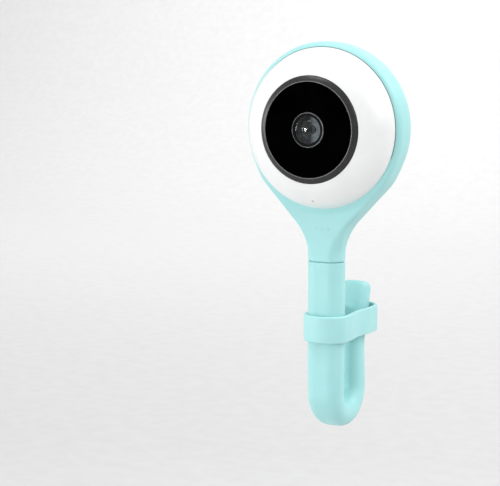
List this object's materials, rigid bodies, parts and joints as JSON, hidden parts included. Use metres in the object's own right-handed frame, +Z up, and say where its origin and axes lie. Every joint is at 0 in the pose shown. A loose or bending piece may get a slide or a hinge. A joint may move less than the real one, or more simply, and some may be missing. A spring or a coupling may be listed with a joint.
{
  "type": "baby monitor camera",
  "caption": "Round video monitor head with a lens window on a bendable oval stem that hooks round a cot rail and closes with an elastic clip band.",
  "frame": {"origin": "middle of the rail space between the two legs of the hook, 103 mm under the centre of the head's front rim", "axes": "+Z up along the front leg, -Y the way the camera looks, +X to the right as seen from in front"},
  "size_m": [0.0704, 0.0566, 0.1629],
  "materials": {
    "cover_silicone": "soft satin, pale aqua",
    "sleeve_silicone": "soft satin, pale aqua",
    "clip_silicone": "soft satin, pale aqua, a little lighter",
    "face_plastic": "fine satin gloss white",
    "shell_plastic": "moulded white",
    "ring_plastic": "dark grey with a fine turned grain",
    "window_black": "polished black",
    "bezel_metal": "turned, dark anodised",
    "lens_glass": "coated optical glass",
    "filter_glass": "coated flat glass",
    "black_plastic": "moulded black",
    "frame_plastic": "moulded light grey",
    "button_plastic": "moulded white",
    "board": "solder mask over glass fibre",
    "chips": "moulded epoxy",
    "sensor": "cover glass over silicon",
    "led_resin": "clear dark resin",
    "steel": "brushed",
    "copper": "enamelled copper",
    "gasket": "foam rubber"
  },
  "bodies": {
    "front_leg": {"core_front": "steel", "sleeve_front": "sleeve_silicone"},
    "upper_link": {"core_upper": "steel", "sleeve_upper": "sleeve_silicone"},
    "head": {"head_cover": "cover_silicone", "back_shell": "shell_plastic", "face_shell": "face_plastic", "window_ring": "ring_plastic", "front_window": "window_black", "lens_ring": "bezel_metal", "lens_front": "lens_glass", "lens_barrel": "black_plastic", "aperture_stop": "black_plastic", "lens_rear": "lens_glass", "lens_holder": "black_plastic", "filter_coil": "copper", "image_sensor": "sensor", "main_board": "board", "board_chips": "chips", "heat_plate": "steel", "wifi_shield": "steel", "antenna": "copper", "ir_led_board": "board", "ir_leds": "led_resin", "light_sensor": "sensor", "microphone": "sensor", "mic_gasket": "gasket", "speaker_frame": "black_plastic", "speaker_cone": "gasket", "speaker_magnet": "steel", "usb_port": "steel", "usb_tongue": "black_plastic", "usb_board": "board", "reset_switch": "black_plastic", "mid_frame": "frame_plastic", "board_screws": "steel", "frame_screws": "steel", "stem_anchor": "steel", "sleeve_top": "sleeve_silicone"},
    "filter": {"filter_frame": "steel", "filter_glass": "filter_glass"},
    "button": {"reset_button": "button_plastic"},
    "bend_1": {"core_u1": "steel", "sleeve_u1": "sleeve_silicone"},
    "bend_2": {"core_u2": "steel", "sleeve_u2": "sleeve_silicone"},
    "bend_3": {"core_u3": "steel", "sleeve_u3": "sleeve_silicone"},
    "bend_4": {"core_u4": "steel", "sleeve_u4": "sleeve_silicone"},
    "bend_5": {"core_u5": "steel", "sleeve_u5": "sleeve_silicone"},
    "back_leg": {"core_back": "steel", "sleeve_back": "sleeve_silicone"},
    "tail": {"core_tail": "steel", "sleeve_tail": "sleeve_silicone"},
    "clip": {"clip_band": "clip_silicone"}
  },
  "joints": [
    {"name": "head_tilt", "type": "hinge", "parent": "front_leg", "child": "upper_link", "pos_m": [0, -0.0115, 0.04], "axis": [-1, 0, 0], "range_deg": [-30, 30]},
    {"name": "head_lean", "type": "hinge", "parent": "upper_link", "child": "head", "pos_m": [0, -0.0115, 0.045], "axis": [0, 1, 0], "range_deg": [-12, 12]},
    {"name": "hook_open", "type": "hinge", "parent": "front_leg", "child": "bend_1", "pos_m": [0, -0.01111, -0.01098], "axis": [-1, 0, 0], "range_deg": [0, 30], "deforming": ["clip_band"]},
    {"name": "hook_bend_2", "type": "hinge", "parent": "bend_1", "child": "bend_2", "pos_m": [0, -0.00813, -0.01613], "axis": [-1, 0, 0], "range_deg": [0, 30]},
    {"name": "hook_bend_3", "type": "hinge", "parent": "bend_2", "child": "bend_3", "pos_m": [0, -0.00298, -0.01911], "axis": [-1, 0, 0], "range_deg": [0, 30]},
    {"name": "hook_bend_4", "type": "hinge", "parent": "bend_3", "child": "bend_4", "pos_m": [0, 0.00298, -0.01911], "axis": [-1, 0, 0], "range_deg": [0, 30]},
    {"name": "hook_bend_5", "type": "hinge", "parent": "bend_4", "child": "bend_5", "pos_m": [0, 0.00813, -0.01613], "axis": [-1, 0, 0], "range_deg": [0, 30]},
    {"name": "hook_bend_6", "type": "hinge", "parent": "bend_5", "child": "back_leg", "pos_m": [0, 0.01111, -0.01098], "axis": [-1, 0, 0], "range_deg": [0, 30]},
    {"name": "tail_bend", "type": "hinge", "parent": "back_leg", "child": "tail", "pos_m": [0, 0.0115, 0.01], "axis": [1, 0, 0], "range_deg": [0, 17]},
    {"name": "clip_slide", "type": "slide", "parent": "front_leg", "child": "clip", "axis": [0, 0, 1], "range_m": [0, 0.01]},
    {"name": "button_press", "type": "slide", "parent": "head", "child": "button", "axis": [0, -1, 0], "range_m": [0, 0.0004], "stiffness_N_per_m": 400, "springref_m": -0.0005},
    {"name": "filter_switch", "type": "slide", "parent": "head", "child": "filter", "axis": [1, 0, 0], "range_m": [0, 0.0064]}
  ],
  "couplings": [
    {"joint": "hook_bend_2", "follows": "hook_open", "ratio": 1},
    {"joint": "hook_bend_3", "follows": "hook_open", "ratio": 1},
    {"joint": "hook_bend_4", "follows": "hook_open", "ratio": 1},
    {"joint": "hook_bend_5", "follows": "hook_open", "ratio": 1},
    {"joint": "hook_bend_6", "follows": "hook_open", "ratio": 1},
    {"joint": "tail_bend", "follows": "hook_open", "ratio": 0.5666}
  ]
}
